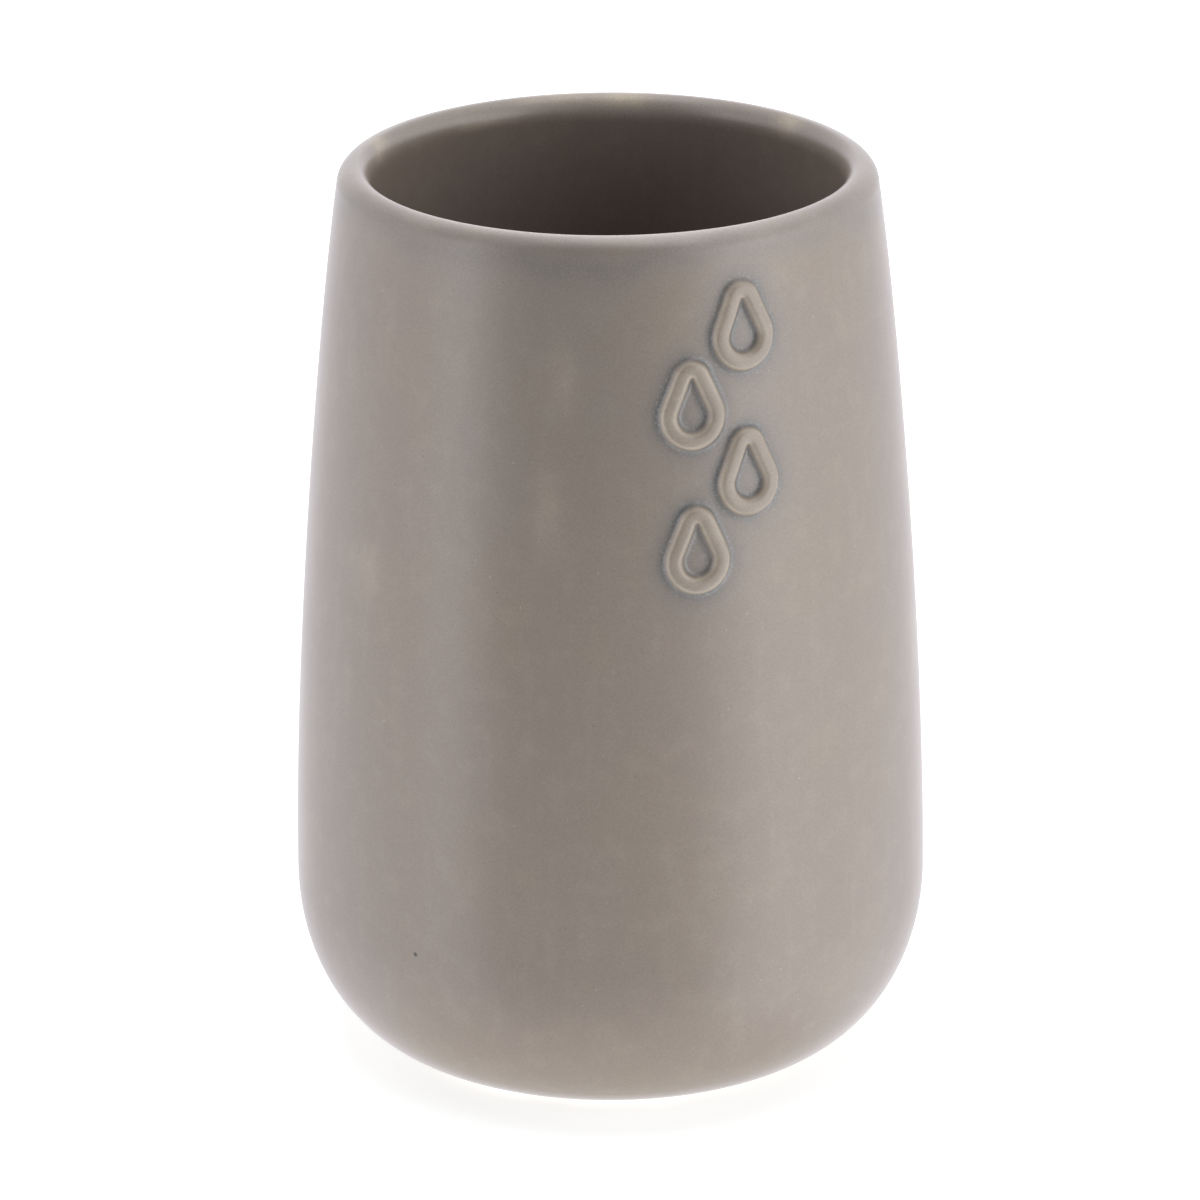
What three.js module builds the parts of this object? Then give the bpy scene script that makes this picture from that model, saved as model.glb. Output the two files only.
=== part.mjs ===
// A ceramic tumbler for a washstand: one slip-cast vessel with a satin glaze, a column of raised water drops
// luted to its wall, and three soft pads under its foot.
// Millimetres, +Z up. The origin is on the table under the middle of the vessel, and the drops face -Y.

import * as THREE from 'three';
import { ParametricGeometry } from 'three/addons/geometries/ParametricGeometry.js';

// The vessel, with heights measured from its foot
const BODY_HEIGHT = 109; // to the top of the lip
const BELLY_RADIUS = 38; // outside, at the widest ring
const BELLY_HEIGHT = 21; // of the widest ring
const BELLY_SWELL = 23.6; // how long the wall keeps upright above that ring, as a curve handle
const FOOT_RADIUS = 23; // flat foot, where the round corner begins
const FOOT_RING_WIDTH = 8; // flat ring that stands on the pads
const DISH_RISE = 1.2; // shallow hollow in the middle of the foot
const MOUTH_RADIUS = 31.9; // outside, where the wall meets the lip
const MOUTH_LEAN = THREE.MathUtils.degToRad( 8 ); // inward lean of the wall there
const MOUTH_REACH = 21.6; // how long the wall keeps that lean below the lip, as a curve handle
const WALL = 4; // even thickness of the casting
const LIP_OUTER_ROUND = 2;
const LIP_INNER_FALL = 3.2; // how far down the inside the lip's softer edge reaches

// The raised drops: each is an outline drop, a round bowl drawn up to a narrow tip
const DROP_COUNT = 4;
const DROP_STROKE = 1.9; // width of the raised line
const DROP_THICKNESS = 0.6; // from the back of the line to its crown
const BOWL_RADIUS = 1.9; // of the bare wall inside the line, at the bowl
const TIP_RADIUS = 0.2; // and at the tip
const BOWL_TO_TIP = 4.3; // between the middles of those two rounds
const DROP_STEP = 8.5; // from one drop down to the next
const DROP_STAGGER = 3.3; // of each drop to one side of the column's middle
const LIP_TO_DROPS = 5.7; // from the top of the lip to the first drop
const SLIP_GAP = 0.3; // film of slip between the wall and a drop's back

// The pads
const PAD_COUNT = 3;
const PAD_RADIUS = 3;
const PAD_THICKNESS = 1;
const PAD_ROUND = 0.3; // on the edge that meets the table

// Facets
const TURN_STEPS = 72;
const PAD_STEPS = 24;
const CORNER_STEPS = 10;
const WALL_STEPS = 9;
const LIP_STEPS = 4;
const DISH_STEPS = 3;
const DROP_STEPS = 48;
const CROWN_STEPS = 6;

const QUARTER = 0.5523; // share of a corner's side at which a cubic curve follows a quarter circle

const glaze = new THREE.MeshStandardMaterial( { color: 0x968d86, roughness: 0.42, metalness: 0 } );
const sprigGlaze = new THREE.MeshStandardMaterial( { color: 0xa29990, roughness: 0.42, metalness: 0 } );
const padRubber = new THREE.MeshStandardMaterial( { color: 0xd6d4ce, roughness: 0.85, metalness: 0 } );

// A curve that rounds off a corner between two points.
function roundedCorner( from, corner, to ) {

	return new THREE.CubicBezierCurve(
		from, from.clone().lerp( corner, QUARTER ), to.clone().lerp( corner, QUARTER ), to );

}

// The vessel's outside in section, as radius and height: the round corner, then the wall up to the lip.

const footHeight = PAD_THICKNESS;
const lipHeight = footHeight + BODY_HEIGHT;
const foot = new THREE.Vector2( FOOT_RADIUS, footHeight );
const belly = new THREE.Vector2( BELLY_RADIUS, footHeight + BELLY_HEIGHT );
const mouth = new THREE.Vector2( MOUTH_RADIUS, lipHeight - LIP_OUTER_ROUND );
const mouthRise = new THREE.Vector2( - Math.sin( MOUTH_LEAN ), Math.cos( MOUTH_LEAN ) );

const cornerCurve = roundedCorner( foot, new THREE.Vector2( BELLY_RADIUS, footHeight ), belly );
const wallCurve = new THREE.CubicBezierCurve(
	belly,
	new THREE.Vector2( BELLY_RADIUS, belly.y + BELLY_SWELL ),
	mouth.clone().addScaledVector( mouthRise, - MOUTH_REACH ),
	mouth );

function outwardNormal( curve, t ) {

	const tangent = curve.getTangent( t );
	return new THREE.Vector2( tangent.y, - tangent.x );

}

// Points up the corner and the wall, moved in from the outside by a depth square to it.
function skin( depth ) {

	const along = ( curve, steps, first ) => Array.from( { length: steps + 1 - first }, ( _, i ) => {

		const t = ( i + first ) / steps;
		return curve.getPoint( t ).addScaledVector( outwardNormal( curve, t ), - depth );

	} );

	return [ ...along( cornerCurve, CORNER_STEPS, 0 ), ...along( wallCurve, WALL_STEPS, 1 ) ];

}

// The foot or the floor from the axis outwards: a shallow dome, and then the flat ring.
function dishedDisc( height ) {

	const edge = FOOT_RADIUS - FOOT_RING_WIDTH;
	return new THREE.QuadraticBezierCurve(
		new THREE.Vector2( 0, height + DISH_RISE ),
		new THREE.Vector2( edge / 2, height + DISH_RISE ),
		new THREE.Vector2( edge, height ) ).getPoints( DISH_STEPS );

}

// The lip from the outside of the wall over its crown to the inside, given a point high on the inside of the wall.
function lip( insideTop ) {

	const alongWall = ( point, height ) => point.clone().addScaledVector(
		mouthRise, ( height - point.y ) / mouthRise.y );
	const inner = alongWall( insideTop, lipHeight - LIP_INNER_FALL );
	const outerCorner = alongWall( mouth, lipHeight );
	const innerCorner = alongWall( inner, lipHeight );
	const crown = outerCorner.clone().setX( outerCorner.x - LIP_OUTER_ROUND );

	return [
		...roundedCorner( mouth, outerCorner, crown ).getPoints( LIP_STEPS ).slice( 1 ),
		...roundedCorner( crown, innerCorner, inner ).getPoints( LIP_STEPS ).slice( 1 ),
	];

}

// A turned piece: LatheGeometry turns its profile about Y, which is then stood up along Z.
function turned( profile, steps ) {

	return new THREE.LatheGeometry( profile, steps ).rotateX( Math.PI / 2 );

}

function tumblerBody() {

	const inside = skin( WALL );
	const insideTop = inside.pop();
	return turned( [
		...dishedDisc( footHeight ),
		...skin( 0 ),
		...lip( insideTop ),
		...inside.reverse(),
		...dishedDisc( footHeight + WALL ).reverse(),
	], TURN_STEPS );

}

// Radius and outward normal of the vessel's outside at a height, found by halving along the curve.
function outsideAt( height ) {

	const curve = height < belly.y ? cornerCurve : wallCurve;
	let low = 0;
	let high = 1;
	for ( let i = 0; i < 32; i ++ ) {

		const middle = ( low + high ) / 2;
		if ( curve.getPoint( middle ).y < height ) low = middle;
		else high = middle;

	}

	return { radius: curve.getPoint( low ).x, normal: outwardNormal( curve, low ) };

}

// Middle line of a drop's raised stroke, with the bowl's middle at the origin: the bowl's round, the tip's
// round and the two straight sides that touch both.
function dropLine() {

	const bowl = BOWL_RADIUS + DROP_STROKE / 2;
	const tip = TIP_RADIUS + DROP_STROKE / 2;
	const slope = Math.asin( ( bowl - tip ) / BOWL_TO_TIP );
	const line = new THREE.Path();
	line.absarc( 0, BOWL_TO_TIP, tip, slope, Math.PI - slope );
	line.absarc( 0, 0, bowl, Math.PI - slope, 2 * Math.PI + slope );
	line.closePath();
	return line;

}

// One drop, with its bowl's middle at a height on the wall: a flat-backed, round-crowned stroke carried round
// the drop's line and wrapped onto the vessel.
function dropSprig( bowlHeight ) {

	const line = dropLine();
	const section = Array.from( { length: CROWN_STEPS + 1 }, ( _, i ) => {

		const angle = Math.PI * i / CROWN_STEPS;
		return new THREE.Vector2( DROP_STROKE / 2 * Math.cos( angle ), DROP_THICKNESS * Math.sin( angle ) );

	} );

	const onWall = ( u, v, target ) => {

		const middle = line.getPointAt( u % 1 );
		const tangent = line.getTangentAt( u % 1 );
		const stroke = section[ Math.round( v * section.length ) % section.length ];
		const across = middle.x + tangent.y * stroke.x;
		const height = bowlHeight + middle.y - tangent.x * stroke.x;
		const { radius, normal } = outsideAt( height );
		const lift = SLIP_GAP + stroke.y;
		const angle = across / radius;
		const reach = radius + normal.x * lift;
		target.set( reach * Math.sin( angle ), - reach * Math.cos( angle ), height + normal.y * lift );

	};

	return new ParametricGeometry( onWall, DROP_STEPS, section.length );

}

function antiSlipPad() {

	const edge = new THREE.Vector2( PAD_RADIUS, 0 );
	return turned( [
		new THREE.Vector2( 0, 0 ),
		...roundedCorner(
			new THREE.Vector2( PAD_RADIUS - PAD_ROUND, 0 ), edge, new THREE.Vector2( PAD_RADIUS, PAD_ROUND )
		).getPoints( LIP_STEPS ),
		new THREE.Vector2( PAD_RADIUS, PAD_THICKNESS ),
		new THREE.Vector2( 0, PAD_THICKNESS ),
	], PAD_STEPS );

}

const tumbler = new THREE.Group();

const body = new THREE.Mesh( tumblerBody(), glaze );
body.name = 'tumbler_body';
tumbler.add( body );

const firstBowl = lipHeight - LIP_TO_DROPS - TIP_RADIUS - DROP_STROKE - BOWL_TO_TIP;
for ( let i = 0; i < DROP_COUNT; i ++ ) {

	const height = firstBowl - i * DROP_STEP;
	const side = i % 2 === 0 ? 1 : - 1;
	const sprig = new THREE.Mesh( dropSprig( height ), sprigGlaze );
	sprig.name = `drop_sprig_${ i + 1 }`;
	sprig.rotation.z = side * DROP_STAGGER / outsideAt( height ).radius;
	tumbler.add( sprig );

}

for ( let i = 0; i < PAD_COUNT; i ++ ) {

	const spoke = new THREE.Group();
	spoke.rotation.z = 2 * Math.PI * i / PAD_COUNT - Math.PI / 2;
	const pad = new THREE.Mesh( antiSlipPad(), padRubber );
	pad.name = `anti_slip_pad_${ i + 1 }`;
	pad.position.x = FOOT_RADIUS - FOOT_RING_WIDTH / 2;
	spoke.add( pad );
	tumbler.add( spoke );

}

export default tumbler;
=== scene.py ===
import bpy
import numpy as np
from mathutils import Matrix, Vector


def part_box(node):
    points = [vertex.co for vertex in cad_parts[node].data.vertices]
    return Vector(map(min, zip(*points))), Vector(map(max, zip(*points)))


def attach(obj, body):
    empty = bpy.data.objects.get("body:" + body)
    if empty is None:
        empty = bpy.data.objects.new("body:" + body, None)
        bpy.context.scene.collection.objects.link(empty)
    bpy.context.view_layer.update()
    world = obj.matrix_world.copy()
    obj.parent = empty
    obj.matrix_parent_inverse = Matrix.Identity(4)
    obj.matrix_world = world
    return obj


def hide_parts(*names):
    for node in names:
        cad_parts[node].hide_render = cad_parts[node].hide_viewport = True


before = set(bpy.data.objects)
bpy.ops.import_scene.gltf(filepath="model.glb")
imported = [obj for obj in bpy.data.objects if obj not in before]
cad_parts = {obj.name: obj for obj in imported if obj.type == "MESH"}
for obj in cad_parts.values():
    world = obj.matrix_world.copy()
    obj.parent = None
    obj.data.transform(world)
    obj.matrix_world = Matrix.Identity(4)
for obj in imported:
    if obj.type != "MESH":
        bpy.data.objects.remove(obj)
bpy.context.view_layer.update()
MM = 0.001

# The vessel: one slip casting of pale earthenware with an even wall. A small flat foot turns through a big
# round corner into a wall that draws in to a soft, rounded lip. It was dipped in a taupe satin glaze, which
# runs thin over the lip, gathers just below it, and was wiped off the ring it stands on.
low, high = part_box("tumbler_body")
BELLY_RADIUS = (high.x - low.x) / 2
FOOT_Z, LIP_Z = low.z, high.z
BELLY_Z = FOOT_Z + 21 * MM
BELLY_SWELL = 23.6 * MM
FOOT_RADIUS = 23 * MM
DISH_RADIUS = 15 * MM
DISH_RISE = 1.2 * MM
MOUTH_RADIUS = 31.9 * MM
MOUTH_LEAN = np.radians(8)
MOUTH_REACH = 21.6 * MM
WALL = 4.0 * MM
LIP_OUTER_ROUND = 2 * MM
LIP_INNER_FALL = 3.2 * MM
QUARTER = 0.5523
CORNER_POINTS, WALL_POINTS = 600, 1400


def cubic(start, start_pull, end_pull, end, count):
    """Points on a cubic Bezier curve: its four control points, weighted by (1-t)^3, 3t(1-t)^2, 3t^2(1-t)
    and t^3."""
    t = np.linspace(0, 1, count)[:, None]
    weights = (1 - t) ** 3, 3 * t * (1 - t) ** 2, 3 * t**2 * (1 - t), t**3
    controls = start, start_pull, end_pull, end
    return sum(weight * np.asarray(control) for weight, control in zip(weights, controls))


def rounded(start, corner, end, count):
    """A cubic curve that rounds off a corner as a quarter circle does: each handle lies 0.5523 of the way
    from its end to the corner."""
    start, corner, end = map(np.asarray, (start, corner, end))
    return cubic(start, start + QUARTER * (corner - start), end + QUARTER * (corner - end), end, count)


def spaced(curve, count):
    """The same curve in count points, evenly spaced along its length."""
    length = np.r_[0, np.cumsum(np.linalg.norm(np.diff(curve, axis=0), axis=1))]
    even = np.linspace(0, length[-1], count)
    return np.stack([np.interp(even, length, curve[:, axis]) for axis in (0, 1)], axis=1)


# The section as radius and height: the outside from foot to mouth, and the inside square to it, one wall in.
belly = (BELLY_RADIUS, BELLY_Z)
mouth = np.array([MOUTH_RADIUS, LIP_Z - LIP_OUTER_ROUND])
mouth_rise = np.array([-np.sin(MOUTH_LEAN), np.cos(MOUTH_LEAN)])
outside = np.concatenate([
    rounded((FOOT_RADIUS, FOOT_Z), (BELLY_RADIUS, FOOT_Z), belly, CORNER_POINTS),
    cubic(belly, (BELLY_RADIUS, BELLY_Z + BELLY_SWELL), mouth - MOUTH_REACH * mouth_rise, mouth,
          WALL_POINTS)[1:],
])
tangent = np.gradient(outside, axis=0)
tangent /= np.linalg.norm(tangent, axis=1, keepdims=True)
outward = np.stack([tangent[:, 1], -tangent[:, 0]], axis=1)
inside = outside - WALL * outward
inside = inside[inside[:, 1] < LIP_Z - LIP_INNER_FALL]
crown = np.array([mouth[0] - np.tan(MOUTH_LEAN) * LIP_OUTER_ROUND - LIP_OUTER_ROUND, LIP_Z])


def lip_side(wall_end, count):
    """One side of the lip: from the end of the leaning wall, rounded over to the crown."""
    corner = (wall_end[0] - np.tan(MOUTH_LEAN) * (LIP_Z - wall_end[1]), LIP_Z)
    return rounded(wall_end, corner, crown, count)


def dish(height, count):
    """The foot's hollow or the floor's dome: a parabola that falls from the axis to the flat ring."""
    radius = np.linspace(0, DISH_RADIUS, count)
    return np.stack([radius, height + DISH_RISE * (1 - (radius / DISH_RADIUS) ** 2)], axis=1)


# Rows are closest beside the drops, so that the glaze round them is drawn finely.
DROPS_TOP_Z = LIP_Z - 5.7 * MM
DROPS_BOTTOM_Z = DROPS_TOP_Z - 35.8 * MM
ZONE_MARGIN = 3 * MM
DISH_ROWS, RING_ROWS = 9, 12
ROWS_BELOW, ROWS_BESIDE, ROWS_ABOVE = 84, 132, 12
LIP_OUTER_ROWS, LIP_INNER_ROWS, INSIDE_ROWS = 22, 26, 90
below_zone = outside[:, 1] <= DROPS_BOTTOM_Z - ZONE_MARGIN
above_zone = outside[:, 1] >= DROPS_TOP_Z + ZONE_MARGIN
section = np.concatenate([
    dish(FOOT_Z, DISH_ROWS)[1:],
    spaced(np.array([(DISH_RADIUS, FOOT_Z), (FOOT_RADIUS, FOOT_Z)]), RING_ROWS)[1:-1],
    spaced(outside[below_zone], ROWS_BELOW),
    spaced(outside[~below_zone & ~above_zone], ROWS_BESIDE),
    spaced(outside[above_zone], ROWS_ABOVE),
    lip_side(mouth, LIP_OUTER_ROWS)[1:],
    lip_side(inside[-1], LIP_INNER_ROWS)[::-1][1:],
    spaced(inside, INSIDE_ROWS)[::-1][1:],
    dish(FOOT_Z + WALL, DISH_ROWS)[::-1][:-1],
])
row_radius, row_height = section[:, :1], section[:, 1:]
crown_row = section[:, 1].argmax()
inner_rows = (np.arange(len(section)) > crown_row)[:, None]
along_section = np.r_[0, np.cumsum(np.linalg.norm(np.diff(section, axis=0), axis=1))][:, None]
below_crown = along_section[crown_row] - along_section

# Columns are closest across the drops, which face -Y.
COLUMN_HALF_ANGLE = np.radians(17)
FRONT_COLUMNS, OTHER_COLUMNS = 90, 152
front = np.linspace(-COLUMN_HALF_ANGLE, COLUMN_HALF_ANGLE, FRONT_COLUMNS)
others = np.linspace(COLUMN_HALF_ANGLE, 2 * np.pi - COLUMN_HALF_ANGLE, OTHER_COLUMNS)[1:-1]
turn = np.concatenate([front, others])

WAVE_DEPTH = 0.02 * MM
WAVE_LARGEST = 2.5


def casting_wave(angle, height):
    """How far the wall lies inside its true circle: four slow sine waves round and up it, as a drying casting
    settles, raised by their largest sum so that the wall never leaves the circle."""
    wave = np.sin(2 * angle + 0.7 + 9 * height) + 0.6 * np.sin(5 * angle - 1.3 + 60 * height)
    wave = wave + 0.5 * np.sin(9 * angle + 2.1 - 110 * height) + 0.4 * np.sin(3 * angle + 140 * height)
    return WAVE_DEPTH * (wave + WAVE_LARGEST)


def turned(radius, angle, height):
    """Points in space at a radius and height, with the angle counted from -Y towards +X: x is the radius
    times the sine, and y is minus the radius times the cosine."""
    return np.stack(np.broadcast_arrays(radius * np.sin(angle), -radius * np.cos(angle), height), axis=-1)


def grid_mesh(name, points, poles=None):
    """A closed mesh from a grid of points. Columns join up. Rows join up too, or end in a fan to each of two
    poles."""
    rows, columns = points.shape[:2]
    number = np.arange(rows * columns).reshape(rows, columns)
    right = np.roll(number, -1, axis=1)
    quads = np.stack([number, right, np.roll(right, -1, axis=0), np.roll(number, -1, axis=0)], axis=-1)
    vertices = points.reshape(-1, 3)
    faces = quads.reshape(-1, 4).tolist()
    if poles is not None:
        first, last = rows * columns, rows * columns + 1
        faces = quads[:-1].reshape(-1, 4).tolist()
        faces += np.stack([right[0], number[0], np.full(columns, first)], axis=-1).tolist()
        faces += np.stack([number[-1], right[-1], np.full(columns, last)], axis=-1).tolist()
        vertices = np.concatenate([vertices, poles])
    mesh = bpy.data.meshes.new(name)
    mesh.from_pydata(vertices.tolist(), [], faces)
    mesh.shade_smooth()
    piece = bpy.data.objects.new(name, mesh)
    bpy.context.scene.collection.objects.link(piece)
    return piece


def paint(piece, name, values):
    """Stores one number for each point of the grid, and zero at any poles, for the material to read."""
    full = np.zeros(len(piece.data.vertices), np.float32)
    full[:values.size] = values.ravel()
    piece.data.attributes.new(name, "FLOAT", "POINT").data.foreach_set("value", full)


def step_between(value, start, end):
    """Smoothly from 0 at start to 1 at end: 3t^2 - 2t^3 of the clamped share t."""
    t = np.clip((value - start) / (end - start), 0, 1)
    return t * t * (3 - 2 * t)


def wrapped(angle):
    """The same angle, brought between minus and plus half a turn."""
    return np.angle(np.exp(1j * angle))


def round_wall(degrees):
    """How far each point of the grid lies sideways from an angle round the vessel: the radius times the angle
    between."""
    return row_radius * wrapped(turn - np.radians(degrees))[None, :]


def near_angle(degrees, reach_degrees):
    """One at an angle round the vessel, falling away on both sides of it as a bell curve."""
    apart = wrapped(turn - np.radians(degrees))[None, :]
    return np.exp(-((apart / np.radians(reach_degrees)) ** 2))


shrink = casting_wave(turn[None, :], row_height) * row_radius / BELLY_RADIUS
vessel = grid_mesh(
    "tumbler_body_glazed",
    turned(row_radius - shrink, turn[None, :], row_height),
    [(0, 0, FOOT_Z + DISH_RISE), (0, 0, FOOT_Z + WALL + DISH_RISE)],
)

# Where the drops sit: each drop's middle line is a bowl's round drawn up to a tip's round.
DROP_COUNT = 4
DROP_STROKE = 1.9 * MM
BOWL_ROUND = 1.9 * MM + DROP_STROKE / 2
TIP_ROUND = 0.2 * MM + DROP_STROKE / 2
BOWL_TO_TIP = 4.3 * MM
DROP_STEP = 8.5 * MM
DROP_STAGGER = 3.3 * MM
bowl_z = DROPS_TOP_Z - TIP_ROUND - DROP_STROKE / 2 - BOWL_TO_TIP - DROP_STEP * np.arange(DROP_COUNT)


def wall_radius(height):
    """Outer radius of the wall at a height, read off the section."""
    return np.interp(height, outside[:, 1], outside[:, 0])


bowl_angle = DROP_STAGGER / wall_radius(bowl_z) * np.where(np.arange(DROP_COUNT) % 2 == 0, 1, -1)


def drop_distance(across, up):
    """Signed distance from a drop's middle line, positive outside it. The line is the outline of two circles
    and their outer tangents, so the nearest part is the bowl's circle, the tip's circle or a straight side,
    by where the point falls along the side."""
    across = np.abs(across)
    sine = (BOWL_ROUND - TIP_ROUND) / BOWL_TO_TIP
    cosine = np.sqrt(1 - sine**2)
    along = cosine * up - sine * across
    bowl = np.hypot(across, up) - BOWL_ROUND
    tip = np.hypot(across, up - BOWL_TO_TIP) - TIP_ROUND
    side = cosine * across + sine * up - BOWL_ROUND
    return np.where(along < 0, bowl, np.where(along > cosine * BOWL_TO_TIP, tip, side))


POOL_START, POOL_FULL, POOL_FADE = -0.05 * MM, 0.3 * MM, 1.4 * MM


def glaze_pool(distance):
    """How much glaze gathers at a distance from a drop's middle line: it rises at the stroke's foot, inside
    and out, and beyond it falls away as e^-x."""
    beyond = np.abs(distance) - DROP_STROKE / 2
    fade = np.exp(-np.clip(beyond - POOL_FULL, 0, None) / POOL_FADE)
    return step_between(beyond, POOL_START, POOL_FULL) * fade


# Where the glaze collected: round the drops and in a sagging band under the lip. Added to it is a painted
# dark reflection, a soft dark patch down the wall beside the drops on the side facing the camera.
DROP_POOL, BAND_POOL, DARK_REFLECTION_STRENGTH = 0.85, 0.38, 0.27
BAND_BELOW, BAND_REACH, BAND_SAG = 3.7 * MM, 1.8 * MM, 0.7 * MM
DARK_REFLECTION_DEGREES = -29
DARK_REFLECTION_BELOW, DARK_REFLECTION_WIDTH, DARK_REFLECTION_LENGTH = 16 * MM, 12 * MM, 22 * MM
arc = wrapped(turn)[None, :, None] - bowl_angle
distances = drop_distance(arc * row_radius[:, :, None], row_height[:, :, None] - bowl_z)
sag = BAND_SAG * (np.sin(4 * turn + 0.8) + 0.7 * np.sin(9 * turn + 2) + 0.5 * np.sin(23 * turn))[None, :]
band = np.exp(-(((below_crown - BAND_BELOW + sag) / BAND_REACH) ** 2))
# A painted dark reflection: a soft patch down the wall on the side facing the camera, darkened with the
# glaze's slate.
painted_dark_reflection = np.exp(-((round_wall(DARK_REFLECTION_DEGREES) / DARK_REFLECTION_WIDTH) ** 2)
                 - ((below_crown - DARK_REFLECTION_BELOW) / DARK_REFLECTION_LENGTH) ** 2)
pooled_and_dark_reflection = np.maximum(DROP_POOL * glaze_pool(distances).max(axis=2), BAND_POOL * band + DARK_REFLECTION_STRENGTH * painted_dark_reflection)
pooled_and_dark_reflection = pooled_and_dark_reflection * ~inner_rows

# Where the glaze is paler over the lip: partly thinner glaze, partly a painted highlight that is strongest on
# the side facing the camera, with a little at the back. It reaches 2.2 mm down the outside and 3.2 mm down
# the inside, and less in three stretches, one outside and two inside. The inside is a little paler all over.
INSIDE_PALENESS = 0.04
INSIDE_BEGINS = 5 * MM
pale_outside = (2.2 - 1.1 * near_angle(-38, 38)) * MM
pale_inside = (3.2 - 1.8 * near_angle(-174, 22) - 1.3 * near_angle(127, 16)) * MM
lip_pale_and_highlight = np.exp(-((below_crown / np.where(inner_rows, pale_inside, pale_outside)) ** 2))
lip_pale_and_highlight *= 0.2 + 0.72 * near_angle(-22, 50) + 0.17 * near_angle(158, 50)
lip_pale_and_highlight = np.maximum(lip_pale_and_highlight, INSIDE_PALENESS * inner_rows)
inner = step_between(-below_crown, 0, INSIDE_BEGINS)

# Where the glaze broke to cream: in small patches, each with an angle, a distance down the outside from the
# lip's crown, or down the inside as a minus, a reach sideways, a reach up and down, and a strength. The
# first, a long strip just inside the crown facing the camera, is a painted highlight over thinner glaze.
PATCHES = [
    # A painted highlight, over thinner glaze, along the inside of the near lip.
    (-22.0, -0.3, 26.0, 0.7, 0.32),
    (-30.7, 18.0, 1.7, 4.5, 0.15),
    (-33.3, 33.3, 1.6, 6.0, 0.14),
    (-75.0, 44.2, 3.4, 3.0, 0.16),
    (-131.0, -0.9, 1.7, 1.1, 1.0),
    (-127.0, -2.2, 1.4, 0.8, 0.5),
    (-107.0, 2.6, 2.2, 2.0, 0.22),
    (168.6, -0.4, 2.6, 1.0, 0.6),
    (155.0, -0.9, 3.0, 1.1, 0.95),
    (176.0, -0.6, 1.8, 0.9, 0.45),
    (-170.0, -2.9, 3.4, 0.5, 0.4),
    (108.6, -1.2, 1.8, 1.3, 0.8),
    (60.0, 62.0, 7.0, 9.0, 0.08),
    (140.0, 40.0, 6.0, 8.0, 0.16),
    (-160.0, 70.0, 7.0, 9.0, 0.14),
]
thin_glaze_and_highlight = np.zeros(pooled_and_dark_reflection.shape)
for degrees, below_mm, sideways_mm, upright_mm, strength in PATCHES:
    upright = (below_crown - below_mm * MM) / (upright_mm * MM)
    gap = np.hypot(round_wall(degrees) / (sideways_mm * MM), upright)
    thin_glaze_and_highlight = np.maximum(thin_glaze_and_highlight, strength * np.exp(-gap**2))

# Where the foot ring was wiped bare, with a glaze line that wanders a little.
LINE_WANDER = 0.35 * MM
OUTER_LINE = FOOT_RADIUS + 0.8 * MM, FOOT_RADIUS + 1.5 * MM
INNER_LINE = DISH_RADIUS - 1.2 * MM, DISH_RADIUS - 0.6 * MM
wander = LINE_WANDER * (np.sin(7 * turn) + 0.6 * np.sin(17 * turn + 1) + 0.4 * np.sin(31 * turn + 2))[None, :]
inside_outer_line = 1 - step_between(row_radius + wander, *OUTER_LINE)
outside_inner_line = step_between(row_radius + wander, *INNER_LINE)
bare = inside_outer_line * outside_inner_line * (row_height < FOOT_Z + WALL / 2)
for name, values in {"pooled_and_dark_reflection": pooled_and_dark_reflection, "lip_pale_and_highlight": lip_pale_and_highlight, "inner": inner, "thin_glaze_and_highlight": thin_glaze_and_highlight, "bare": bare}.items():
    paint(vessel, name, np.broadcast_to(values, pooled_and_dark_reflection.shape))


def linear(red, green, blue):
    """A colour given as 0 to 255 display values, in the linear light that shaders use."""
    share = np.array([red, green, blue]) / 255
    return (*np.where(share <= 0.04045, share / 12.92, ((share + 0.055) / 1.055) ** 2.4), 1.0)


def new_finish(name):
    """A new material, with its node tree and its shader."""
    material = bpy.data.materials.new(name)
    material.use_nodes = True
    return material, material.node_tree, material.node_tree.nodes["Principled BSDF"]


def add_node(tree, kind, settings=None, inputs=None):
    """A shader node with its settings. An input that is given a socket is linked, and any other value is
    stored."""
    node = tree.nodes.new(kind)
    for key, value in (settings or {}).items():
        setattr(node, key, value)
    for key, value in (inputs or {}).items():
        if isinstance(value, bpy.types.NodeSocket):
            tree.links.new(value, node.inputs[key])
        else:
            node.inputs[key].default_value = value
    return node


def mixed(tree, factor, first, second, blend="MIX"):
    """Two colours mixed by a factor, each a socket or a fixed colour. Sockets 0, 6 and 7 of Mix are its
    factor and its two colours, and output 2 is a colour."""
    return add_node(tree, "ShaderNodeMix", {"data_type": "RGBA", "blend_type": blend}, {
        0: factor, 6: first, 7: second}).outputs[2]


def maths(tree, operation, *values):
    """One arithmetic step on sockets or numbers."""
    return add_node(tree, "ShaderNodeMath", {"operation": operation}, dict(enumerate(values))).outputs[0]


def ramped(tree, value, from_low, from_high, to_low, to_high):
    """A value carried smoothly from one range to another, and held at the ends."""
    return add_node(tree, "ShaderNodeMapRange", {"interpolation_type": "SMOOTHSTEP"}, {
        "Value": value, "From Min": from_low, "From Max": from_high, "To Min": to_low, "To Max": to_high,
    }).outputs[0]


BUMP_DEPTH = 0.02 * MM


def bumped(tree, height, strength):
    """A normal that follows a height, which runs from 0 to 1 over the bump's depth."""
    return add_node(tree, "ShaderNodeBump", None, {
        "Strength": strength, "Distance": BUMP_DEPTH, "Height": height}).outputs[0]


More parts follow.
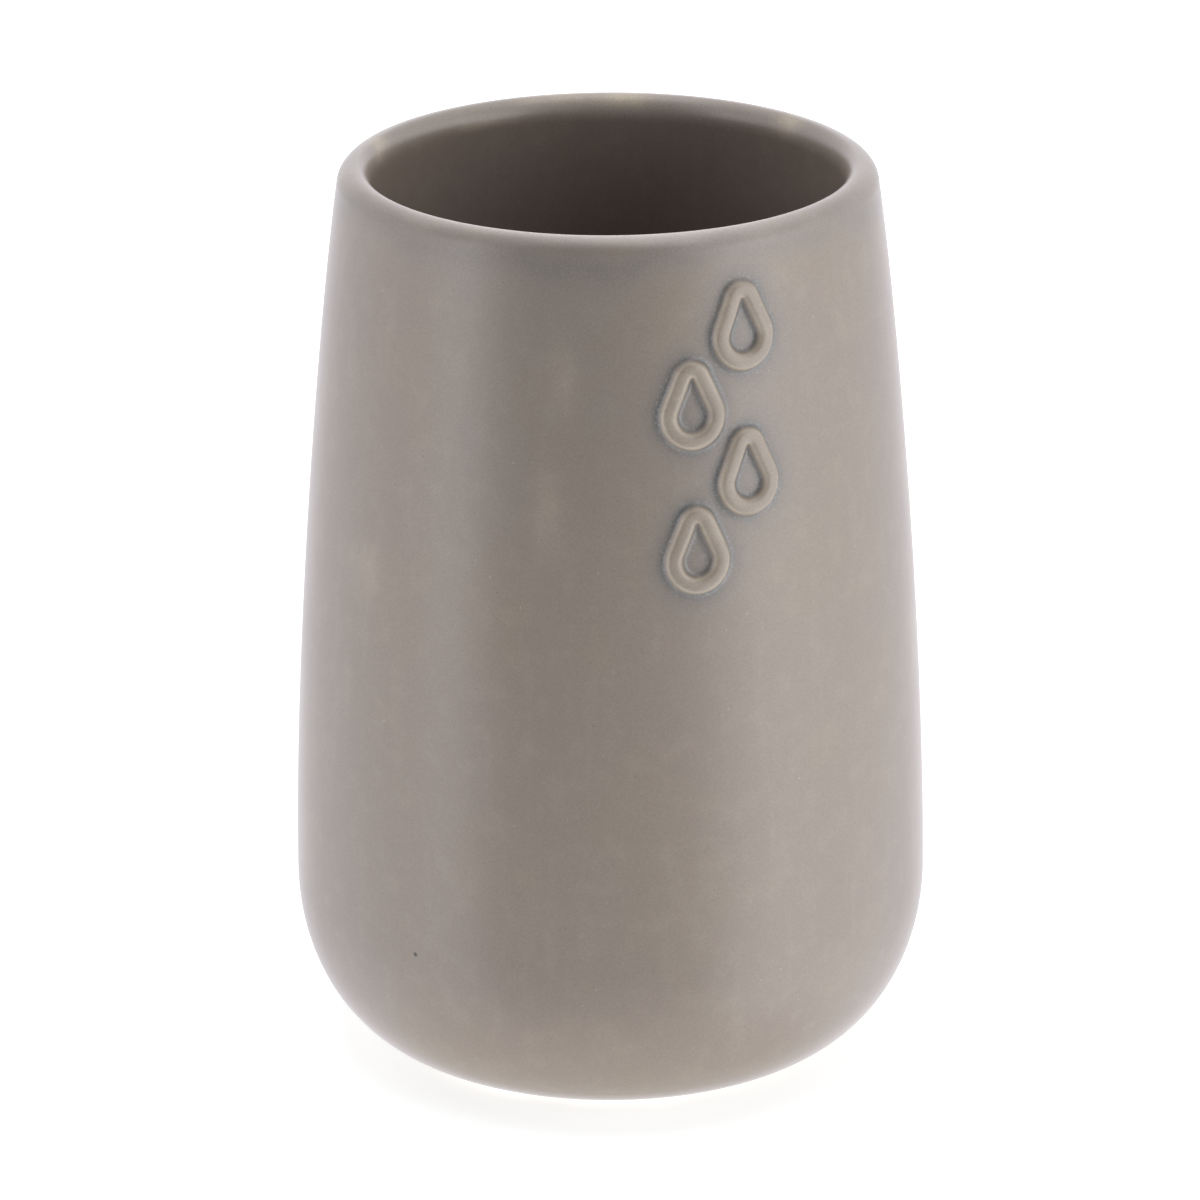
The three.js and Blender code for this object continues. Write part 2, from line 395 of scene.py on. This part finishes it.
WARM_TAUPE = linear(142, 130, 119)
COOL_TAUPE = linear(141, 129, 120)
PALE_AND_HIGHLIGHT_TAUPE = linear(222, 214, 208)
INSIDE_TINT = (1.01, 0.99, 1.035, 1)
CREAM = linear(212, 199, 178)
SLATE_POOL_AND_DARK_REFLECTION = linear(104, 106, 108)
FROST = linear(172, 174, 174)
IRON = linear(46, 40, 36)
BISQUE = linear(222, 212, 196)
CLAY = linear(206, 194, 176)
SPECK_DEGREES, SPECK_Z = -59.1, 22 * MM
SPECK = turned(wall_radius(SPECK_Z), np.radians(SPECK_DEGREES), SPECK_Z)
SPECK_CORE, SPECK_EDGE = 0.20 * MM, 0.34 * MM
GLAZE_ROUGHNESS = (0.29, 0.31)
BROKEN_ROUGHER, WIPED_ROUGHER = 0.06, 0.5
GLAZE_INDEX = 1.7


def satin_glaze():
    """Taupe satin glaze: clouds and faint runs of warmer and cooler grey under a fine grain, paler over the
    lip where it ran thinner and where a highlight is painted, cream where it broke and in a painted highlight
    inside the near lip, slate where it collected, with a frost of tiny crystals, and slate too in a painted
    dark reflection on the wall facing the camera, a few pinholes and flecks, one iron speck low on the wall,
    and bare bisque where it was wiped off."""
    material, tree, shader = new_finish("satin_glaze")
    place = add_node(tree, "ShaderNodeTexCoord").outputs["Object"]
    pool_and_dark_reflection, lip, inside_wall, broken_and_highlight, wiped = [
        add_node(tree, "ShaderNodeAttribute", {"attribute_name": name}).outputs["Fac"]
        for name in ("pooled_and_dark_reflection", "lip_pale_and_highlight", "inner", "thin_glaze_and_highlight", "bare")]

    def noise(scale, detail, upright=1.0):
        """Soft noise with so many waves to a metre, drawn out upright where the last number is below one."""
        stretched = add_node(tree, "ShaderNodeMapping", None, {
            "Vector": place, "Scale": (scale, scale, scale * upright)}).outputs[0]
        return add_node(tree, "ShaderNodeTexNoise", None, {
            "Vector": stretched, "Scale": 1.0, "Detail": detail}).outputs["Fac"]

    def dots(scale, size, share):
        """A soft dot in a share of the cells of a Voronoi pattern."""
        cells = add_node(tree, "ShaderNodeTexVoronoi", None, {"Vector": place, "Scale": scale})
        small = ramped(tree, cells.outputs["Distance"], size * 0.6, size, 1, 0)
        chance = add_node(tree, "ShaderNodeSeparateColor", None, {0: cells.outputs["Color"]}).outputs[0]
        return maths(tree, "MULTIPLY", small, maths(tree, "LESS_THAN", chance, share))

    clouds = noise(70, 3)
    blotches = noise(330, 3)
    runs = noise(420, 2, 0.12)
    grain = noise(4200, 1)
    colour = mixed(tree, ramped(tree, clouds, 0.36, 0.64, 0, 1), WARM_TAUPE, COOL_TAUPE)
    colour = mixed(tree, ramped(tree, blotches, 0.45, 0.75, 0, 0.05), colour, CREAM)
    colour = mixed(tree, ramped(tree, runs, 0.52, 0.75, 0, 0.03), colour, CREAM)
    colour = mixed(tree, inside_wall, colour, INSIDE_TINT, "MULTIPLY")
    # The lip's paler band: thinner glaze, and a painted highlight that is strongest on the side facing the
    # camera.
    colour = mixed(tree, lip, colour, PALE_AND_HIGHLIGHT_TAUPE)
    # Slate where the glaze collected, and in the painted dark reflection on the wall facing the camera.
    gathered_and_dark_reflection = maths(tree, "MULTIPLY", pool_and_dark_reflection, ramped(tree, blotches, 0.25, 0.75, 0.6, 0.95))
    colour = mixed(tree, gathered_and_dark_reflection, colour, SLATE_POOL_AND_DARK_REFLECTION)
    deep = ramped(tree, pool_and_dark_reflection, 0.3, 0.9, 0, 1)
    frost = maths(tree, "MULTIPLY", deep, ramped(tree, grain, 0.55, 0.75, 0, 0.3))
    colour = mixed(tree, frost, colour, FROST)
    # Cream where the glaze broke, and a painted highlight inside the near lip.
    cream = maths(tree, "MULTIPLY", broken_and_highlight, ramped(tree, blotches, 0.3, 0.7, 0.6, 1.0))
    colour = mixed(tree, cream, colour, CREAM)
    shade = ramped(tree, grain, 0.25, 0.75, 0.93, 1.07)
    grey = add_node(tree, "ShaderNodeCombineXYZ", None, {0: shade, 1: shade, 2: shade}).outputs[0]
    colour = mixed(tree, 1.0, colour, grey, "MULTIPLY")
    pinholes = dots(900, 0.11, 0.07)
    flecks = dots(760, 0.10, 0.08)
    colour = mixed(tree, maths(tree, "MULTIPLY", pinholes, 0.35), colour, IRON)
    colour = mixed(tree, maths(tree, "MULTIPLY", flecks, 0.35), colour, CREAM)
    away = add_node(tree, "ShaderNodeVectorMath", {"operation": "DISTANCE"}, {
        0: place, 1: tuple(SPECK)}).outputs["Value"]
    colour = mixed(tree, ramped(tree, away, SPECK_CORE, SPECK_EDGE, 0.9, 0), colour, IRON)
    clay = mixed(tree, ramped(tree, blotches, 0.3, 0.7, 0, 0.8), BISQUE, CLAY)
    tree.links.new(mixed(tree, wiped, colour, clay), shader.inputs["Base Color"])

    roughness = ramped(tree, clouds, 0.3, 0.7, *GLAZE_ROUGHNESS)
    roughness = maths(tree, "ADD", roughness, maths(tree, "MULTIPLY", broken_and_highlight, BROKEN_ROUGHER))
    roughness = maths(tree, "ADD", roughness, maths(tree, "MULTIPLY", wiped, WIPED_ROUGHER))
    tree.links.new(roughness, shader.inputs["Roughness"])
    skin = maths(tree, "ADD", noise(420, 2), maths(tree, "MULTIPLY", grain, 0.12))
    skin = maths(tree, "SUBTRACT", skin, maths(tree, "MULTIPLY", pinholes, 1.2))
    tree.links.new(bumped(tree, skin, 0.35), shader.inputs["Normal"])
    shader.inputs["IOR"].default_value = GLAZE_INDEX
    return material


glaze = satin_glaze()
vessel.data.materials.append(glaze)
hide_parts("tumbler_body")
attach(vessel, "root")

# The raised drops: four small sprigs of the same clay, pressed in a mould and luted to the wall with slip,
# then glazed over with the vessel. The glaze breaks cream on their crowns and fills the angle at their foot.
DROP_RELIEF = 0.9 * MM
SHOULDER = 0.17 * MM
SKIRT = DROP_STROKE / 2 + 6 * SHOULDER
SINK = 0.003 * MM
ROOT_DEPTH = 0.35 * MM
DROP_LEVELS, DROP_COLUMNS = 56, 220
LONGEST_REACH = BOWL_TO_TIP + TIP_ROUND + 4 * MM
HALVINGS = 40
LINE_STEPS = 4001
RIM_OFF_LINE, RIM_WIDTH = 0.78 * MM, 0.18 * MM
RIM_CREAM, TOP_CREAM = 0.40, 0.10
TOP_STARTS, TOP_FULL = 0.3 * MM, 0.85 * MM


def level_reach(direction, level):
    """How far along each direction from the bowl's middle the signed distance reaches a level, by halving."""
    near = np.zeros(np.broadcast(direction, level).shape)
    far = np.full(near.shape, LONGEST_REACH)
    for _ in range(HALVINGS):
        half = (near + far) / 2
        short = drop_distance(half * np.sin(direction), -half * np.cos(direction)) < level
        near, far = np.where(short, half, near), np.where(short, far, half)
    return near


def drop_rays(count):
    """Directions from the bowl's middle, spaced evenly along the drop's line: the line is walked in small
    steps, and the direction is read off at equal shares of its length."""
    direction = np.linspace(0, 2 * np.pi, LINE_STEPS)
    reach = level_reach(direction, 0.0)
    line = np.stack([reach * np.sin(direction), -reach * np.cos(direction)], axis=1)
    length = np.r_[0, np.cumsum(np.linalg.norm(np.diff(line, axis=0), axis=1))]
    return np.interp(np.linspace(0, length[-1], count + 1)[:-1], length, direction)


def drop_sprig(number):
    """One drop: levels of distance from its line by directions round its bowl, lifted off the wall by a crown
    that falls away at its shoulders as 1 / (1 + e^x), and closed by a root let into the wall."""
    direction = drop_rays(DROP_COLUMNS)[None, :]
    levels = np.concatenate([np.linspace(SKIRT, -SKIRT, DROP_LEVELS), [-SKIRT, SKIRT]])[:, None]
    reach = level_reach(direction, levels)
    across, up = reach * np.sin(direction), -reach * np.cos(direction)
    distance = drop_distance(across, up)
    lift = DROP_RELIEF / (1 + np.exp((np.abs(distance) - DROP_STROKE / 2) / SHOULDER)) - SINK
    lift[-2:] = -ROOT_DEPTH
    height = bowl_z[number] + up
    angle = bowl_angle[number] + across / wall_radius(height)
    radius = wall_radius(height) - casting_wave(angle, height) * wall_radius(height) / BELLY_RADIUS
    lean = np.interp(height, outside[:, 1], outward[:, 1])
    points = turned(radius + lift * np.sqrt(1 - lean**2), angle, height + lift * lean)
    sprig = grid_mesh(f"drop_sprig_{number + 1}_glazed", points[::-1])
    rim = np.exp(-(((np.abs(distance) - RIM_OFF_LINE) / RIM_WIDTH) ** 2))
    top = step_between(lift, TOP_STARTS, TOP_FULL)
    paint(sprig, "thin_glaze_and_highlight", (RIM_CREAM * rim + TOP_CREAM * top)[::-1])
    paint(sprig, "pooled_and_dark_reflection", glaze_pool(distance)[::-1])
    return sprig


for number in range(DROP_COUNT):
    sprig = drop_sprig(number)
    sprig.data.materials.append(glaze)
    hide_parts(f"drop_sprig_{number + 1}")
    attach(sprig, "root")

# The pads: three soft stick-on discs of clear-grey silicone under the foot ring, each with a rolled edge and
# a shallow dimple, so that the hard bisque never touches the washstand.
PAD_NODES = ["anti_slip_pad_1", "anti_slip_pad_2", "anti_slip_pad_3"]
PAD_ROLL = 0.45 * MM
PAD_DIMPLE = 0.12 * MM
DIMPLE_SHARE = 0.8
PAD_TOP_EDGE = 0.05 * MM
PAD_TOP_INNER_SHARE = 0.2
UNDER_ROWS, ROLL_ROWS, SIDE_ROWS, PAD_COLUMNS = 14, 12, 6, 72


def soft_pad(node):
    """A disc turned about its own middle: an underside dimpled as (1 - r^2)^2, a rolled edge, a straight side
    and a flat top."""
    low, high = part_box(node)
    centre = (low + high) / 2
    radius, top = (high.x - low.x) / 2, high.z
    under = np.linspace(0, 1, UNDER_ROWS)[1:]
    dimple = PAD_DIMPLE * np.clip(1 - (under / DIMPLE_SHARE) ** 2, 0, 1) ** 2
    section = np.concatenate([
        np.stack([under * (radius - PAD_ROLL), dimple], axis=1),
        rounded((radius - PAD_ROLL, 0), (radius, 0), (radius, PAD_ROLL), ROLL_ROWS)[1:],
        spaced(np.array([(radius, PAD_ROLL), (radius, top)]), SIDE_ROWS)[1:],
        spaced(np.array([(radius - PAD_TOP_EDGE, top), (PAD_TOP_INNER_SHARE * radius, top)]), SIDE_ROWS),
    ])
    angle = np.linspace(0, 2 * np.pi, PAD_COLUMNS + 1)[:-1][None, :]
    points = turned(section[:, :1], angle, section[:, 1:]) + np.array([centre.x, centre.y, 0])
    return grid_mesh(node + "_soft", points, [(centre.x, centre.y, PAD_DIMPLE), (centre.x, centre.y, top)])


CLEAR_GREY = linear(214, 212, 206)
DUSTY_GREY = linear(196, 194, 188)
LIGHT_DEPTH = (0.001, 0.001, 0.0009)


def pad_silicone():
    """Clear-grey silicone: a soft body colour with dust clouds, a fine matt skin and a little light inside
    it."""
    material, tree, shader = new_finish("pad_silicone")
    place = add_node(tree, "ShaderNodeTexCoord").outputs["Object"]
    dust, tooth = [
        add_node(tree, "ShaderNodeTexNoise", None, {
            "Vector": place, "Scale": scale, "Detail": detail}).outputs["Fac"]
        for scale, detail in ((900, 3), (6000, 2))]
    tint = mixed(tree, ramped(tree, dust, 0.35, 0.7, 0, 1), CLEAR_GREY, DUSTY_GREY)
    tree.links.new(tint, shader.inputs["Base Color"])
    tree.links.new(ramped(tree, dust, 0.3, 0.7, 0.5, 0.7), shader.inputs["Roughness"])
    tree.links.new(bumped(tree, tooth, 0.4), shader.inputs["Normal"])
    shader.inputs["Subsurface Weight"].default_value = 0.15
    shader.inputs["Subsurface Radius"].default_value = LIGHT_DEPTH
    return material


silicone = pad_silicone()
for node in PAD_NODES:
    pad = soft_pad(node)
    pad.data.materials.append(silicone)
    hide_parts(node)
    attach(pad, "root")

# The camera stands where the photograph was taken from: a long lens, about 0.86 m away and 20 degrees up,
# with the drops turned a little to its right.
CAMERA_AZIMUTH = np.radians(-21.8)
CAMERA_RISE = np.radians(19.915)
CAMERA_DISTANCE = 0.860
CAMERA_ROLL = np.radians(-0.231)
PHOTO_SIDE = 1200
FOCAL_PIXELS = 7167
AXIS_PIXEL = (609.5, 598.1)
SENSOR = 36.0
AIM_ABOVE_FOOT = 54.55 * MM
aim = Vector((0, 0, FOOT_Z + AIM_ABOVE_FOOT))


def seen_from(azimuth, rise, distance):
    """The place at an azimuth, a rise and a distance from the tumbler's middle, turned to look back at it."""
    away = Vector(turned(np.cos(rise), azimuth, np.sin(rise)))
    return Matrix.Translation(aim + distance * away) @ away.to_track_quat("Z", "Y").to_matrix().to_4x4()


lens = bpy.data.cameras.new("camera")
lens.sensor_width = SENSOR
lens.lens = SENSOR * FOCAL_PIXELS / PHOTO_SIDE
lens.shift_x = (PHOTO_SIDE / 2 - AXIS_PIXEL[0]) / PHOTO_SIDE
lens.shift_y = (AXIS_PIXEL[1] - PHOTO_SIDE / 2) / PHOTO_SIDE
lens.clip_start = 0.01
camera = bpy.data.objects.new("camera", lens)
camera.matrix_world = (seen_from(CAMERA_AZIMUTH, CAMERA_RISE, CAMERA_DISTANCE)
                       @ Matrix.Rotation(CAMERA_ROLL, 4, "Z"))
bpy.context.scene.collection.objects.link(camera)
bpy.context.scene.camera = camera

# The stage: a white table top in a studio tent. Both are plain white to the eye. The glaze mirrors the tent,
# which is brightest in a soft panel on the right, less so in one on the left, and dim round the camera. Five
# lamps light the rest: two beside the camera, two behind the tumbler and one above it.
TABLE_REACH = 3.0
TABLE_GLOW = 0.74
TABLE_SEEN = 0.66
TABLE_ROUGHNESS = 0.9
TABLE_GREY = (0.8, 0.8, 0.8, 1)
TABLE_WHITE = (0.975, 1, 1.012, 1)
corners = [(TABLE_REACH * x, TABLE_REACH * y, 0) for x, y in ((-1, -1), (1, -1), (1, 1), (-1, 1))]
table_mesh = bpy.data.meshes.new("table_top")
table_mesh.from_pydata(corners, [], [(0, 1, 2, 3)])
table_top = bpy.data.objects.new("table_top", table_mesh)
table_top.visible_glossy = False
bpy.context.scene.collection.objects.link(table_top)
paper, tree, shader = new_finish("table_paper")
shader.inputs["Base Color"].default_value = TABLE_GREY
shader.inputs["Roughness"].default_value = TABLE_ROUGHNESS
shader.inputs["Emission Color"].default_value = TABLE_WHITE
seen = add_node(tree, "ShaderNodeLightPath").outputs["Is Camera Ray"]
tree.links.new(ramped(tree, seen, 0, 1, TABLE_GLOW, TABLE_SEEN), shader.inputs["Emission Strength"])
table_mesh.materials.append(paper)

# The lamps, each with an azimuth from the camera's own, a rise above the table and a power in watts.
LAMP_SIZE = 0.7
LAMP_DISTANCE = 0.9
LAMPS = {
    "lamp_left": (-65, 14, 2.3),
    "lamp_right": (65, 14, 3.85),
    "lamp_back_left": (-120, 40, 2.2),
    "lamp_back_right": (120, 40, 1.9),
    "lamp_above": (0, 88, 3.85),
}
for name, (azimuth, rise, power) in LAMPS.items():
    lamp = bpy.data.lights.new(name, "AREA")
    lamp.size = LAMP_SIZE
    lamp.energy = power
    holder = bpy.data.objects.new(name, lamp)
    holder.matrix_world = seen_from(CAMERA_AZIMUTH + np.radians(azimuth), np.radians(rise), LAMP_DISTANCE)
    holder.visible_glossy = False
    bpy.context.scene.collection.objects.link(holder)

# The tent round the table: azimuths from the camera's own, each with a strength level with the tumbler and
# one low down. Its roof is dimmer, it brightens as it sweeps down to the table, and straight below it is
# even. Each of these comes in between two rises, given as the sine of the angle above level.
TENT = [
    (-180, 1.45, 1.45), (-140, 0.93, 0.96), (-115, 0.98, 1.18), (-85, 0.94, 1.09), (-74, 1.12, 1.09),
    (-65, 1.69, 1.29), (-57, 1.61, 1.18), (-50, 0.84, 0.75), (-43, 0.24, 0.55), (-36, 0.03, 0.42),
    (-5, 0.05, 0.45), (12, 0.22, 0.5), (29, 0.59, 0.5), (43, 1.5, 1.32), (51, 2.05, 1.84),
    (60, 2.28, 2.13), (68, 2.19, 2.16), (80, 1.87, 1.9), (95, 1.53, 1.74), (115, 1.24, 1.48),
    (140, 0.93, 0.99), (180, 1.45, 1.45),
]
TENT_BRIGHTEST = 2.6
LOW_RISES = (-0.22, -0.36)
TENT_ROOF, ROOF_RISES = 0.62, (0.25, 0.6)
TENT_SWEEP, SWEEP_RISES = 1.12, (-0.1, -0.35)
TENT_GROUND, GROUND_RISES = 0.98, (-0.55, -0.9)
WARM_FROM, WARM_TO = 0, 130
COOL_WHITE = np.array([1.01, 1.0, 1.09])
WARM_WHITE = np.array([1.01, 1.0, 1.02])
GROUND_WHITE = np.array([1.04, 1.0, 0.95])
world = bpy.data.worlds.new("studio_tent")
bpy.context.scene.world = world
world.use_nodes = True
tree = world.node_tree
ray = add_node(tree, "ShaderNodeLightPath").outputs
facing = add_node(tree, "ShaderNodeMapping", None, {
    "Vector": add_node(tree, "ShaderNodeTexCoord").outputs["Generated"],
    "Rotation": (0, 0, np.pi / 2 - CAMERA_AZIMUTH)}).outputs[0]
around = add_node(tree, "ShaderNodeTexGradient", {"gradient_type": "RADIAL"}, {
    "Vector": facing}).outputs["Fac"]
level_panels, low_panels = [add_node(tree, "ShaderNodeValToRGB", None, {"Fac": around}) for _ in range(2)]
for azimuth, *strengths in TENT:
    tint = WARM_WHITE if WARM_FROM < azimuth < WARM_TO else COOL_WHITE
    for panels, strength in zip((level_panels, low_panels), strengths):
        stops = panels.color_ramp.elements
        ends = {-180: stops[0], 180: stops[-1]}
        stop = ends[azimuth] if azimuth in ends else stops.new(azimuth / 360 + 0.5)
        stop.color = (*(strength / TENT_BRIGHTEST * tint), 1)
up = add_node(tree, "ShaderNodeSeparateXYZ", None, {0: facing}).outputs["Z"]
low_down = ramped(tree, up, *LOW_RISES, 0, 1)
tent = mixed(tree, low_down, level_panels.outputs["Color"], low_panels.outputs["Color"])
for strength, rises in ((TENT_ROOF, ROOF_RISES), (TENT_SWEEP, SWEEP_RISES)):
    share = ramped(tree, up, *rises, 0, 1)
    tent = mixed(tree, share, tent, (strength, strength, strength, 1), "MULTIPLY")
ground = (*(TENT_GROUND / TENT_BRIGHTEST * GROUND_WHITE), 1)
tent = mixed(tree, ramped(tree, up, *GROUND_RISES, 0, 1), tent, ground)
seen = maths(tree, "MAXIMUM", ray["Is Camera Ray"], ray["Is Transmission Ray"])
backdrop = tree.nodes["Background"]
tree.links.new(mixed(tree, seen, tent, (1, 1, 1, 1)), backdrop.inputs["Color"])
mirrored = maths(tree, "MULTIPLY", ray["Is Glossy Ray"], TENT_BRIGHTEST)
tree.links.new(maths(tree, "ADD", mirrored, seen), backdrop.inputs["Strength"])
bpy.context.scene.view_settings.view_transform = "Standard"
